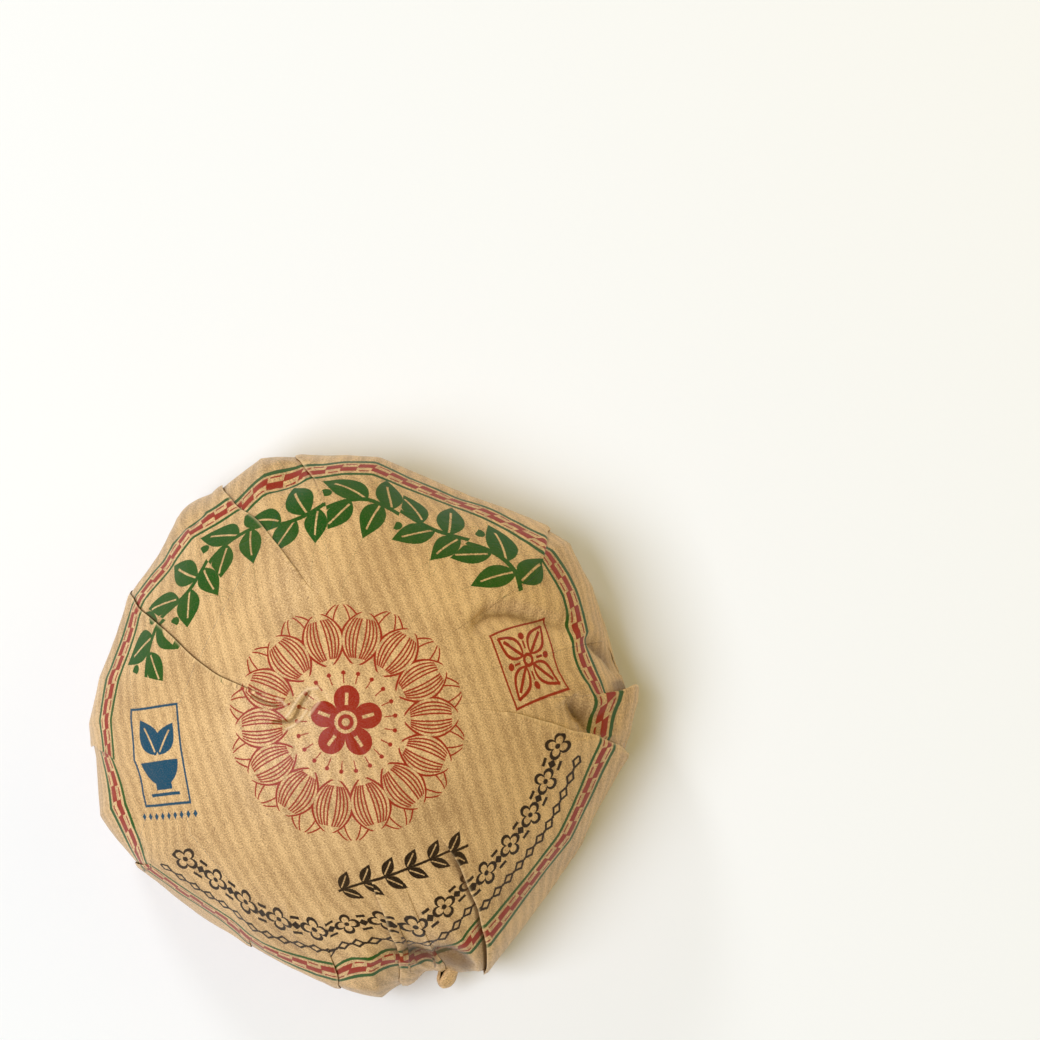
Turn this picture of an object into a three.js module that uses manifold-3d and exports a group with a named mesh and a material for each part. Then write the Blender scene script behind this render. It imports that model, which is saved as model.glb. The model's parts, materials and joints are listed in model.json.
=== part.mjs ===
// A tea cake pressed in the shape of a bird's nest and wrapped in one sheet of thin kraft paper.
// The cake lies on its rim with the dome up. The paper is drawn smooth over the dome, laid in
// overlapping pleats down its sides, and gathered with a twist into the hollow underneath.
// The wrapped cake can't be seen into, so it is one closed solid.
// Frame: +Z up along the dome's axis, +Y towards the top of the print, origin on the floor in the
// middle of the outline.
import * as THREE from "three";
import { mergeVertices } from "three/addons/utils/BufferGeometryUtils.js";
import Module from "manifold-3d";

// Driving dimensions, in millimetres. Arcs are lengths over the wrapped profile from the apex.
const CAKE_RADIUS = 39.8;
const CAKE_HEIGHT = 43;
const WIDEST_HEIGHT = 7.5;
const DOME_POWER = 2.06;
const FOOT_OUTER = 33;
const FOOT_INNER = 28;
const HOLLOW_DEPTH = 17;
const HOLLOW_POWER = 2.4;
const LIP_POWER = 1.45;
const KNOT_HEIGHT = 6.5;
const KNOT_RADIUS = 6.5;

// The paper stands off the cake in ridges over the rim zone and lies flat again at the foot.
const STAND_OFF_START = 26;
const STAND_OFF_FULL = 53;
const PLEAT_FADE = 11;
const PLEAT_SLOPE = 4.5;
const CREASE_HALF_WIDTH = 0.25;
const GATHER_HEIGHT = 0.7;
const GATHER_PITCH = 14;
const FOOT_GROOVE = 0.45;
const FOOT_GROOVE_WIDTH = 6;
const TWIST = 40;

// Pleats round the rim, counter-clockwise from +X seen from above. rim and inner are the azimuths
// of the crease at the rim and at its inner end, in degrees, reach is the arc where it begins,
// lap is the side whose paper lies on top (1 counter-clockwise, -1 clockwise), and lift is how
// far the lapping edge stands up.
const PLEATS = [
  { rim: -4, inner: -2, reach: 22, lap: -1, lift: 1.0 },
  { rim: 7, inner: 8, reach: 49, lap: -1, lift: 1.7 },
  { rim: 20, inner: 21, reach: 38, lap: 1, lift: 0.9 },
  { rim: 42, inner: 44, reach: 41, lap: 1, lift: 0.8 },
  { rim: 103, inner: 100, reach: 43, lap: -1, lift: 0.8 },
  { rim: 121, inner: 108, reach: 19, lap: 1, lift: 0.9 },
  { rim: 151, inner: 160, reach: 11, lap: 1, lift: 0.9 },
  { rim: 184, inner: 184, reach: 46, lap: -1, lift: 0.7 },
  { rim: 213, inner: 214, reach: 43, lap: 1, lift: 0.9 },
  { rim: 243, inner: 243, reach: 50, lap: -1, lift: 0.5 },
  { rim: 270, inner: 268, reach: 44, lap: -1, lift: 1.1 },
  { rim: 279.5, inner: 277, reach: 20, lap: 1, lift: 0.4 },
  { rim: 289, inner: 287, reach: 45, lap: -1, lift: 1.0 },
  { rim: 298, inner: 302, reach: 18, lap: 1, lift: 1.3 },
];

// Corners of the wrapped outline at its widest, as azimuth and distance from the axis. Between
// them the paper runs straight from corner to corner, or lies on the cake.
const CORNERS = [
  [-62, 44.0], [-7, 43.1], [5, 44.2], [23, 42.6], [39, 44.6], [52, 41.8], [92, 42.4], [108, 44.6],
  [129, 43.8], [150, 42.0], [170, 42.4], [182, 42.9], [202, 43.5], [217, 41.2], [259, 41.1],
  [272, 43.7], [287, 43.4],
];

// The twisted tip of paper that sticks out low at the rim.
const TIP_AZIMUTH = 288.5;
const TIP_START = 37;
const TIP_END = 45.5;
const TIP_Z = 7;
const TIP_RADIUS = 2.3;
const TIP_DROOP = 14;

// Mesh density: columns every few degrees between creases, rings by arc spacing.
const COLUMN_PITCH = 4.2;
const RING_PITCH_DOME = 2.9;
const RING_PITCH_RIM = 2.0;
const PROFILE_STEPS = 400;

const rad = THREE.MathUtils.degToRad;
const smooth = (x, low, high) => THREE.MathUtils.smoothstep(x, low, high);

// One quarter of a superellipse, as [radial, axial] shares at angle a from its axis.
function superellipse(a, power) {
  return [Math.sin(a) ** (2 / power), Math.cos(a) ** (2 / power)];
}

// The wrapped profile from the apex over the rim and foot to the middle of the hollow, as points
// [r, z, arc], with no pleats.
function profileTable() {
  const points = [];
  for (let i = 0; i <= PROFILE_STEPS; i++) {
    const [x, y] = superellipse((i / PROFILE_STEPS) * Math.PI / 2, DOME_POWER);
    points.push([CAKE_RADIUS * x, WIDEST_HEIGHT + (CAKE_HEIGHT - WIDEST_HEIGHT) * y]);
  }
  for (let i = 1; i <= PROFILE_STEPS; i++) {
    const a = (i / PROFILE_STEPS) * Math.PI / 2;
    const r = FOOT_OUTER + (CAKE_RADIUS - FOOT_OUTER) * Math.cos(a);
    points.push([r, WIDEST_HEIGHT * (1 - Math.sin(a))]);
  }
  for (let i = 0; i <= PROFILE_STEPS; i++) {
    const r = FOOT_INNER * (1 - i / PROFILE_STEPS);
    const dome = HOLLOW_DEPTH * (1 - (r / FOOT_INNER) ** HOLLOW_POWER) ** LIP_POWER;
    const knot = KNOT_HEIGHT * Math.exp(-((r / KNOT_RADIUS) ** 2));
    points.push([r, dome - knot * smooth(FOOT_INNER - r, 0, KNOT_RADIUS)]);
  }
  let arc = 0;
  return points.map(([r, z], i) => {
    if (i > 0) arc += Math.hypot(r - points[i - 1][0], z - points[i - 1][1]);
    return [r, z, arc];
  });
}

const PROFILE = profileTable();
const FOOT_START = PROFILE[2 * PROFILE_STEPS][2];
const FOOT_END = PROFILE[2 * PROFILE_STEPS + 1][2];
const WIDEST_ARC = PROFILE[PROFILE_STEPS][2];
const END_ARC = PROFILE[PROFILE.length - 1][2];

// Radius, height and outward normal of the unpleated profile at an arc.
function profileAt(arc) {
  const found = PROFILE.findIndex((p) => p[2] >= arc);
  const high = THREE.MathUtils.clamp(found, 1, PROFILE.length - 1);
  const [r0, z0, a0] = PROFILE[high - 1];
  const [r1, z1, a1] = PROFILE[high];
  const t = (arc - a0) / (a1 - a0);
  const length = Math.hypot(r1 - r0, z1 - z0);
  return {
    r: r0 + (r1 - r0) * t,
    z: z0 + (z1 - z0) * t,
    normal: [-(z1 - z0) / length, (r1 - r0) / length],
  };
}

// How far the outline stands off the cake at an azimuth: the hull of the cake and its corners.
function outlineStandOff(azimuth) {
  let radius = CAKE_RADIUS;
  CORNERS.forEach(([corner, reach], i) => {
    const away = Math.abs(THREE.MathUtils.euclideanModulo(azimuth - corner + 180, 360) - 180);
    const tangent = Math.acos(CAKE_RADIUS / reach) - rad(away);
    if (tangent > 0) radius = Math.max(radius, CAKE_RADIUS / Math.cos(tangent));
    const [nextCorner, nextReach] = CORNERS[(i + 1) % CORNERS.length];
    const width = THREE.MathUtils.euclideanModulo(nextCorner - corner, 360);
    const inside = THREE.MathUtils.euclideanModulo(azimuth - corner, 360);
    if (inside < width) {
      const chord = reach * nextReach * Math.sin(rad(width));
      const share = reach * Math.sin(rad(inside)) + nextReach * Math.sin(rad(width - inside));
      radius = Math.max(radius, chord / share);
    }
  });
  return radius - CAKE_RADIUS;
}

// The azimuth of a crease at an arc: it turns from its inner end to the rim, then twists with the
// gathered paper in the hollow.
function creaseAzimuth(pleat, arc) {
  const outwards = smooth(arc, pleat.reach, WIDEST_ARC);
  const twist = TWIST * smooth(arc, FOOT_END, END_ARC) ** 2;
  return pleat.inner + (pleat.rim - pleat.inner) * outwards + twist;
}

// The share of a fold's height that is left at an arc: none where it is pressed flat at the foot.
function foldStrength(arc) {
  const outside = 1 - smooth(arc, WIDEST_ARC, FOOT_START - 1);
  const inside = 1.5 * smooth(arc, FOOT_END + 1.5, FOOT_END + 9) * (1 - smooth(arc, END_ARC - 8, END_ARC));
  return outside + inside;
}

// The share of the foot's grooves at an arc.
function footShare(arc) {
  return smooth(arc, FOOT_START - 1.5, FOOT_START + 0.5) * (1 - smooth(arc, FOOT_END - 0.5, FOOT_END + 2));
}

// Height of the folds over the profile at a column: the stand-off of the outline, the lapping
// edges of the pleats on both sides, the grooves beside them where the foot is pressed flat, and
// the gathers under the rim.
function foldHeight(column, arc, azimuth, r) {
  const strength = foldStrength(arc);
  const rising = smooth(arc, STAND_OFF_START, STAND_OFF_FULL);
  const falling = 1 - smooth(arc, WIDEST_ARC, FOOT_START - 1);
  let height = outlineStandOff(azimuth) * rising * falling;
  for (const [pleat, distance] of [[column.from, column.t], [column.to, 1 - column.t]]) {
    const onTop = pleat.lap === (pleat === column.from ? 1 : -1);
    const away = distance * rad(column.width) * r;
    if (onTop) {
      const begun = smooth(arc, pleat.reach, pleat.reach + PLEAT_FADE);
      height += pleat.lift * begun * strength * Math.exp(-away / PLEAT_SLOPE);
    } else {
      height -= FOOT_GROOVE * footShare(arc) * Math.max(0, 1 - away / FOOT_GROOVE_WIDTH) ** 2;
    }
  }
  const gathered = smooth(arc, WIDEST_ARC - 4, WIDEST_ARC + 3) * strength;
  const waves = Math.max(1, Math.round(column.width / GATHER_PITCH));
  return height + GATHER_HEIGHT * gathered * (0.5 - 0.5 * Math.cos(2 * Math.PI * waves * column.t));
}

// The grid's columns, each a place t between two neighbouring creases, with one on each side of
// every crease, so that the lapping edge is a steep step.
function gridColumns() {
  const columns = [];
  PLEATS.forEach((from, i) => {
    const to = PLEATS[(i + 1) % PLEATS.length];
    const width = THREE.MathUtils.euclideanModulo(to.rim - from.rim, 360);
    const edge = THREE.MathUtils.radToDeg(CREASE_HALF_WIDTH / CAKE_RADIUS) / width;
    const inner = Math.max(2, Math.round(width / COLUMN_PITCH));
    for (let j = 0; j <= inner; j++) {
      columns.push({ from, to, width, t: edge + (1 - 2 * edge) * (j / inner) });
    }
  });
  return columns;
}

// Arcs of the grid's rings between the two poles, closer together over the rim.
function gridArcs() {
  const stretches = [
    [0, STAND_OFF_START, RING_PITCH_DOME],
    [STAND_OFF_START, FOOT_START, RING_PITCH_RIM],
    [FOOT_START, FOOT_END, RING_PITCH_DOME],
    [FOOT_END, END_ARC, RING_PITCH_DOME],
  ];
  return stretches.flatMap(([low, high, pitch]) => {
    const count = Math.round((high - low) / pitch);
    return Array.from({ length: count }, (_, i) => low + ((high - low) * i) / count);
  }).slice(1);
}

// A point of the wrapped surface, in the part's frame.
function surfacePoint(column, arc) {
  const start = creaseAzimuth(column.from, arc);
  const span = THREE.MathUtils.euclideanModulo(creaseAzimuth(column.to, arc) - start, 360);
  const azimuth = start + span * column.t;
  const { r, z, normal } = profileAt(arc);
  const height = foldHeight(column, arc, azimuth, r);
  const out = r + height * normal[0];
  return [out * Math.cos(rad(azimuth)), out * Math.sin(rad(azimuth)), z + height * normal[1]];
}

// The wrapped cake as one closed grid: two poles and the rings between them.
function wrapperGeometry() {
  const columns = gridColumns();
  const arcs = gridArcs();
  const positions = [0, 0, CAKE_HEIGHT];
  arcs.forEach((arc) => columns.forEach((column) => positions.push(...surfacePoint(column, arc))));
  positions.push(0, 0, HOLLOW_DEPTH - KNOT_HEIGHT);
  const count = columns.length;
  const last = arcs.length * count + 1;
  const indices = [];
  for (let j = 0; j < count; j++) {
    const next = (j + 1) % count;
    indices.push(0, 1 + j, 1 + next);
    for (let i = 0; i < arcs.length - 1; i++) {
      const [a, b] = [1 + i * count + j, 1 + i * count + next];
      const [c, d] = [a + count, b + count];
      indices.push(a, c, d, a, d, b);
    }
    indices.push(last, last - count + next, last - count + j);
  }
  const geometry = new THREE.BufferGeometry();
  geometry.setAttribute("position", new THREE.Float32BufferAttribute(positions, 3));
  geometry.setIndex(indices);
  return geometry;
}

// The twisted tip: a blunt cone with a pinched neck, lying outwards and drooping a little.
function tipGeometry() {
  const length = TIP_END - TIP_START;
  const outline = [[0, 0], [0.9, 0], [0.62, 0.45], [0.8, 0.72], [0.95, 0.86], [0.6, 0.98], [0, 1]];
  const profile = outline.map(([r, h]) => new THREE.Vector2(r * TIP_RADIUS, h * length));
  const geometry = new THREE.LatheGeometry(profile, 9);
  geometry.rotateZ(-Math.PI / 2 - rad(TIP_DROOP));
  geometry.translate(TIP_START, 0, 0);
  geometry.rotateX(Math.PI / 2);
  geometry.rotateZ(rad(TIP_AZIMUTH));
  geometry.translate(0, 0, TIP_Z);
  return geometry;
}

// A closed geometry as a solid, with its shared vertices merged.
function solidOf(wasm, geometry) {
  const bare = geometry.clone();
  bare.deleteAttribute("normal");
  bare.deleteAttribute("uv");
  const merged = mergeVertices(bare, 1e-4);
  return new wasm.Manifold(new wasm.Mesh({
    numProp: 3,
    vertProperties: new Float32Array(merged.attributes.position.array),
    triVerts: new Uint32Array(merged.index.array),
  }));
}

function geometryOf(solid) {
  const mesh = solid.getMesh();
  const geometry = new THREE.BufferGeometry();
  geometry.setAttribute("position", new THREE.BufferAttribute(mesh.vertProperties, mesh.numProp));
  geometry.setIndex(new THREE.BufferAttribute(mesh.triVerts, 1));
  geometry.computeVertexNormals();
  return geometry;
}

const wasm = await Module();
wasm.setup();

const kraftPaper = new THREE.MeshStandardMaterial({ color: 0xcda678, roughness: 0.62, metalness: 0 });
const wrapped = solidOf(wasm, wrapperGeometry()).add(solidOf(wasm, tipGeometry()));
const wrappedCake = new THREE.Mesh(geometryOf(wrapped), kraftPaper);
wrappedCake.name = "wrapped_tea_cake";

// The outline is uneven, so the origin is moved from the dome's axis to the middle of the outline.
wrappedCake.geometry.computeBoundingBox();
const middle = wrappedCake.geometry.boundingBox.getCenter(new THREE.Vector3());
wrappedCake.position.set(-middle.x, -middle.y, 0);

const tuocha = new THREE.Group();
tuocha.add(wrappedCake);

export default tuocha;
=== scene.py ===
"""Looks of a nest-shaped tea cake in a printed kraft paper wrapper, lying on its rim."""

import math
from collections import namedtuple

import bpy
import numpy as np
from mathutils import Matrix, Vector, geometry
from mathutils.bvhtree import BVHTree
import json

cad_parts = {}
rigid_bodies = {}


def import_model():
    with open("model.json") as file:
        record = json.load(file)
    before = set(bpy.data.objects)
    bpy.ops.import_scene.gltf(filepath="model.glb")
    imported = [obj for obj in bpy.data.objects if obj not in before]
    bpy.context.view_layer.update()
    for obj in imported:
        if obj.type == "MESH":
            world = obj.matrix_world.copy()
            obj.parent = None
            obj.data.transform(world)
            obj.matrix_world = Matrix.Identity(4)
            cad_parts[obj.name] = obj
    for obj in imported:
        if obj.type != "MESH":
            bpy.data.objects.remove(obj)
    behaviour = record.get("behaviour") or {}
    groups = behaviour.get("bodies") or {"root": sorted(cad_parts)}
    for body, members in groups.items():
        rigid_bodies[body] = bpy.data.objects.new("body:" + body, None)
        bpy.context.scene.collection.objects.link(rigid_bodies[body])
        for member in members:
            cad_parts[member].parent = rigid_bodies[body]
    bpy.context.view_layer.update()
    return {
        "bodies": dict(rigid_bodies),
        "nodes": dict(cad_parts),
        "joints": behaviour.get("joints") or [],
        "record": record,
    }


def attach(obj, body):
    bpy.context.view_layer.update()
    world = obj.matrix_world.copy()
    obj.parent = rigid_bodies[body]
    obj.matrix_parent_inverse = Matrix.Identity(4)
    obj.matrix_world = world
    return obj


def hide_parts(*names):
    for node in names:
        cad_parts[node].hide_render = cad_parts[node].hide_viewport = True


MM = 0.001
TAU = 2 * math.pi

# The wrapped cake, in millimetres, with the powers of its curves and the twist in degrees
CAKE_RADIUS = 39.8
CAKE_HEIGHT = 43.0
WIDEST_HEIGHT = 7.5
DOME_POWER = 2.06
FOOT_OUTER = 33.0
FOOT_INNER = 28.0
HOLLOW_DEPTH = 17.0
HOLLOW_POWER = 2.4
LIP_POWER = 1.45
KNOT_HEIGHT = 6.5
KNOT_RADIUS = 6.5
TWIST = 40.0

# Points on each of the profile's three curves
PROFILE_POINTS = 700

# How the paper stands off the cake: millimetres, arcs from the apex, shares of a fold's lift
STAND_OFF_START = 26.0
STAND_OFF_FULL = 53.0
PLEAT_FADE = 11.0
PLEAT_SLOPE = 4.5
PAPER_GAP = 0.05
LIFT_START = 34.0
LIFT_FULL = 52.0
LIFT_IN_HOLLOW = 1.4
LIFT_ON_FLOOR = 0.12
CREASE_WANDER = 0.22

# Paper hidden in the pleats, and the drawing in of the sheet, in shares and arcs from the apex
HIDDEN_SHARE = 0.72
HIDDEN_START = 12.0
HIDDEN_FULL = 46.0
PLEAT_WEIGHT = 0.4
PLEAT_GROWTH = 14.0
DRAWN_START = 24.0
DRAWN_FULL = 44.0

# Relief of the paper. A crumple is its random seed and its pitch along and across the profile. A
# swell, or the patches where the crumple is strong, is its wavelength and seed. A height is that on
# the dome and what the rim adds between two arcs. CRUMPLE_BELOW is how crumpled the flanks are.
CRUMPLE_COARSE = (5, 9.0, 5.5)
CRUMPLE_FINE = (8, 3.6, 2.6)
PATCHES = (34, 3)
SWELL = (21, 11)
COARSE_HEIGHT = (0.03, 0.36)
FINE_HEIGHT = (0.012, 0.13)
SWELL_HEIGHT = (0.10, 0.12)
RIM_START = 30.0
RIM_FULL = 50.0
CRUMPLE_BELOW = 1.5
GATHER_PITCH = 2.6
GATHER_HEIGHT = 0.34

# The camera, and where the cake stands in its square picture
PICTURE = 1040
FOCAL_PIXELS = 3750.0
CAMERA_DISTANCE = 600.0
CAKE_PIXEL = (359.0, 723.0)
VIEW_TILT = (0.0785, -0.035)

# Colours of the paper and its specks, the painted shade in creases, folds and recesses, and the painted
# highlight on crests and on fold edges, which are partly real rubbed wear
PAPER_DARK = (0.385, 0.224, 0.098)
PAPER_PALE = (0.840, 0.556, 0.266)
SPECK = (0.16, 0.075, 0.035)
VALLEY_PAINTED_SHADE = (0.15, 0.070, 0.012)
CREST_PAINTED_HIGHLIGHT = (0.92, 0.70, 0.46)
RUBBED_PALE_AND_PAINTED_HIGHLIGHT = (0.86, 0.62, 0.34)
PAINTED_SHADE = (0.10, 0.040, 0.010)

# Inks and the print's layout on the flat sheet, in millimetres and degrees
GREEN = (0.002, 0.076, 0.0)
RED = (0.305, 0.012, 0.0)
BLUE = (0.0, 0.062, 0.120)
BLACK = (0.011, 0.003, 0.0)
RING_OUTER = 47.2
RING_INNER = 43.0
OUTER_LINE = 0.42
INNER_LINE = 0.32
FRET_UNITS = 58
PRINT_TURN = 16.0
INK_EDGE = 0.11
BLOSSOM_PLACE = (0.8, -1.1)
SQUARE_PLACE = (30.5, 10.9)
CUP_PLACE = (-31.6, -6.6)
TWIG_PLACE = (9.3, -24.6)

# Ribs of the paper: distance in millimetres and turn in degrees
RIB_PITCH = 2.25
RIB_TURN = 20.0

# Floor and sky: half the floor's width in metres, its colour, roughness and glow, the sky's colour
# and strength
FLOOR_HALF = 1.2
FLOOR_COLOUR = (0.84, 0.85, 0.88)
FLOOR_ROUGHNESS = 0.9
FLOOR_GLOW = 0.06
SKY_COLOUR = (1.0, 0.87, 0.42)
SKY_STRENGTH = 0.30

# Lights: name, azimuth, elevation, distance and size in metres, power in watts, colour
LIGHTS = [
    ("key", 202, 63, 1.3, 0.8, 15.8, (0.835, 0.88, 1.0)),
    ("sheen", 117, 31, 1.2, 0.20, 2.8, (0.93, 0.97, 1.0)),
    ("right fill", 12, 40, 1.2, 0.7, 1.0, (1.0, 0.90, 0.32)),
    ("warm bounce", 40, 18, 0.5, 0.4, 0.35, (1.0, 0.72, 0.14)),
]

# Pleats counter-clockwise round the rim. path runs inwards from the rim, in millimetres as the
# camera sees it about the dome's axis. lap is the side whose paper lies on top (1 counter-
# clockwise, -1 clockwise), and lift is how far its edge stands up on the dome and at the rim.
# ring is how far the sheet is drawn inwards, in millimetres along the profile, just before the
# pleat, just after it and in the middle of the panel after it. rough is how crumpled that panel is,
# and dark how strong the painted shade is inside the fold and on the panel just beside its edge.
Pleat = namedtuple("Pleat", "path lap lift ring rough dark")
PLEATS = [
    Pleat([(42.9, -5.8), (38.0, -3.2), (34.1, -2.0), (29.6, -0.5), (23.0, 1.2), (17.5, 2.6)],
          -1, (0.2, 0.8), (-1.5, 0.0, -1.0), 0.5, 1.0),
    Pleat([(43.4, 5.0), (39.6, 4.6), (37.6, 4.4)], -1, (0.2, 1.5), (-2.5, 2.5, 2.0), 0.6, 0.8),
    Pleat([(41.6, 8.6), (40.6, 11.0), (39.4, 12.8)], 1, (0.12, 0.1), (2.0, 1.5, 0.0), 0.6, 0.3),
    Pleat([(29.2, 30.8), (29.5, 28.7), (29.6, 26.3), (28.6, 23.6)],
          1, (0.2, 0.5), (0.5, -2.0, -1.5), 0.4, 0.8),
    Pleat([(-9.4, 42.2), (-6.6, 38.6), (-5.4, 34.0)], -1, (0.1, 0.2), (0.0, -1.0, 1.5), 0.9, 0.6),
    Pleat([(-22.8, 37.4), (-20.4, 34.5), (-16.2, 31.1), (-12.1, 26.0), (-8.4, 21.8), (-5.4, 19.4)],
          1, (0.24, 0.3), (3.5, 2.0, 0.5), 0.6, 0.8),
    Pleat([(-38.0, 22.4), (-31.8, 14.9), (-27.8, 10.9), (-23.0, 7.2), (-17.4, 4.9), (-12.0, 3.8)],
          1, (0.2, 0.15), (-1.0, 0.5, 1.0), 0.35, 0.85),
    Pleat([(-42.6, -2.6), (-40.4, -4.6), (-38.4, -6.4)], -1, (0.1, 0.25), (1.5, -1.5, 1.5), 0.4, 0.7),
    Pleat([(-35.6, -22.6), (-33.6, -22.4), (-31.2, -21.6)], 1, (0.1, 0.2), (-5.0, -3.0, -1.5), 0.6, 0.7),
    Pleat([(-19.0, -37.0), (-18.0, -35.4), (-17.0, -33.6)], -1, (0.1, 0.15), (-4.5, -1.0, -2.0), 0.8, 0.6),
    Pleat([(-3.4, -42.6), (-4.2, -38.4), (-5.2, -34.0)], -1, (0.15, 0.35), (-1.0, -3.0, 2.0), 1.0, 0.6),
    Pleat([(7.4, -41.6), (6.6, -35.6), (4.6, -29.6), (2.4, -25.6), (1.0, -21.9)],
          1, (0.15, 0.25), (-0.5, -0.5, -3.5), 1.0, 0.3),
    Pleat([(13.9, -42.0), (12.8, -38.4), (11.6, -35.4)], -1, (0.2, 0.3), (-4.5, -2.0, 0.0), 1.1, 0.5),
    Pleat([(20.4, -39.2), (20.3, -35.1), (19.3, -28.6), (16.3, -22.4), (14.3, -19.4), (11.3, -16.6)],
          1, (0.3, 0.6), (1.5, 0.0, -0.5), 0.2, 1.0),
]

# Corners of the wrapped outline at its widest, as azimuth and distance from the axis
CORNERS = [
    (4, 43.1), (10, 42.3), (21, 42.3), (30, 43.4), (40, 44.2), (50, 42.0), (64, 40.0), (78, 41.3),
    (85, 42.9), (92, 43.0), (100, 43.1), (110, 44.7), (124, 42.8), (131, 43.5), (140, 41.4), (150, 41.6),
    (160, 41.0), (170, 42.0), (180, 42.8), (200, 43.4), (214, 41.4), (262, 41.2), (275, 43.8), (284, 40.9),
    (289, 40.4), (292, 42.9), (297, 43.9), (306, 42.0), (318, 40.7), (331, 40.6), (344, 41.0), (353, 42.2),
    (358, 42.9),
]

# Where the outline lies inside that: azimuth in degrees, depth, and width in degrees
PRESSED = [(238, 0.6, 12), (278, 0.9, 4), (287, 1.4, 4), (318, 0.3, 9)]

# Single folds and dents between the pleats: height, width, painted light and wear, edge, and the
# line as the camera sees it. Without an edge the paper stands up over the line, or lies below it
# where the height is negative. With one it drops on the right-hand side of the line's direction,
# over the edge's width. Both fade over width. Where painted light and wear is positive the line is
# painted pale, partly as rubbed wear and partly as a painted highlight on a lit edge; where it is
# negative it gets painted shade in the recess or crease.
DENTS = [
    (2.6, 2.6, 0.0, 0.32,
     [(18.0, 14.0), (18.4, 16.6), (20.6, 18.6), (24.6, 18.9), (28.5, 17.9), (32.0, 16.8), (35.6, 15.2)]),
    # Painted shade only, under the arc above the seal, with no relief
    (0.0, 1.0, -0.8, 0,
     [(18.8, 13.6), (19.2, 16.0), (21.0, 17.6), (24.6, 17.9), (28.3, 16.9), (31.6, 15.8), (35.0, 14.4)]),
    (1.0, 1.5, 0.0, 0.16,
     [(-14.4, 0.4), (-12.2, 0.2), (-11.0, 0.3), (-10.3, 0.8), (-9.4, 2.7), (-8.9, 3.7), (-7.9, 5.0)]),
    (0.5, 0.6, 0.0, 0, [(-12.0, -1.0), (-10.4, -0.1), (-9.0, 1.3), (-8.2, 2.4)]),
    (0.35, 0.7, 0.0, 0, [(-5.0, 3.5), (-5.9, 2.5), (-7.2, 1.2)]),
    (0.5, 0.9, 0.0, 0, [(-13.6, 3.4), (-12.4, 3.6), (-11.4, 3.0)]),
    # The recess under the lip low on the rim: painted shade in it, and the lifted edge below it painted pale
    # as a painted highlight
    (-1.0, 1.0, -1.3, 0, [(3.0, -36.2), (7.0, -36.5), (11.0, -37.2), (14.5, -37.8), (18.0, -38.7)]),
    (0.6, 0.5, 0.5, 0, [(-1.0, -36.7), (3.0, -37.0), (7.0, -37.5), (10.7, -38.3), (13.6, -38.9)]),
    (-1.5, 0.9, -2.4, 0, [(12.4, -37.0), (15.2, -37.5), (18.8, -38.8)]),
    # Painted shade in the hollows beside the ear on the right
    (-1.5, 0.9, -0.9, 0, [(36.4, 14.0), (37.9, 12.3), (40.0, 10.1), (41.2, 7.4)]),
    (0.5, 1.5, 0.0, 0, [(32.0, 8.0), (36.0, 5.4), (39.0, 1.6)]),
    (-2.7, 1.3, -0.9, 0, [(33.6, 4.0), (35.6, 2.0), (37.0, 0.4), (37.8, -2.4)]),
    (0.4, 0.9, 0.0, 0, [(-33.0, -19.0), (-35.6, -16.0), (-37.4, -12.4)]),
    (0.9, 0.8, -0.3, 0, [(-28.6, 33.4), (-26.2, 35.2), (-23.6, 36.4)]),
    (-0.9, 0.8, -0.25, 0, [(-30.2, 29.6), (-27.4, 32.0), (-24.6, 33.8)]),
    (-0.8, 1.0, 0.0, 0, [(-15.6, 37.0), (-12.4, 38.6), (-9.0, 39.6)]),
    (0.6, 1.0, 0.3, 0, [(-16.0, 40.6), (-12.0, 41.8), (-6.0, 42.0)]),
    (0.3, 1.3, 0.0, 0, [(8.0, 39.0), (16.0, 36.6), (24.0, 32.6)]),
    (0.22, 1.6, 0.0, 0, [(33.0, -24.0), (30.0, -30.0), (25.4, -35.0)]),
    (0.4, 0.7, 0.25, 0, [(-11.6, -26.6), (-10.9, -31.7), (-9.1, -35.0)]),
    (0.3, 0.7, 0.2, 0, [(-6.4, -27.6), (-5.4, -31.4), (-5.0, -35.4)]),
    (0.5, 0.7, 0.4, 0, [(-3.6, -40.8), (-0.4, -41.4), (3.4, -41.6)]),
]

# Sharp small creases near the apex, as the camera sees them: valleys get painted shade, ridges a painted
# highlight
VALLEYS = [
    [(-7.9, 5.0), (-9.0, 3.5), (-9.4, 2.7), (-9.9, 1.7),
     (-10.3, 0.8), (-11.0, 0.3), (-12.2, 0.2), (-13.6, 0.2)],
    [(-17.0, 4.3), (-14.6, 3.2), (-13.2, 2.7)],
]
RIDGES = [
    [(-6.6, 5.7), (-8.2, 5.5), (-9.4, 4.4), (-10.3, 3.0), (-10.9, 1.9), (-11.6, 1.1)],
    [(-8.4, 2.2), (-9.4, 0.6), (-10.4, -0.3), (-11.6, -0.9)],
    [(-6.4, 3.4), (-7.2, 2.5), (-8.0, 1.3)],
    [(-13.0, 3.9), (-12.2, 3.6), (-11.6, 2.8)],
]

# The tip of paper that sticks out low at the rim: azimuth, distance from the axis and height of its
# root and of its end, its size, the degrees that it is rolled over and faces, and its print's place
TIP_ROOT = (296.6, 38.0, 10.0)
TIP_END = (287.3, 44.0, 5.4)
TIP_RADIUS = 1.85
TIP_PAPER = 0.16
TIP_HALF_TURN = 166.0
TIP_CLOSING = 13.0
TIP_FACING = -52.0
TIP_CURL = 0.17
TIP_PRINT_START = 45.2
TIP_PRINT_LENGTH = 8.0
TIP_PRINT_RADIUS = 46.0
TIP_ROWS = 26
TIP_COLUMNS = 34

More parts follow.
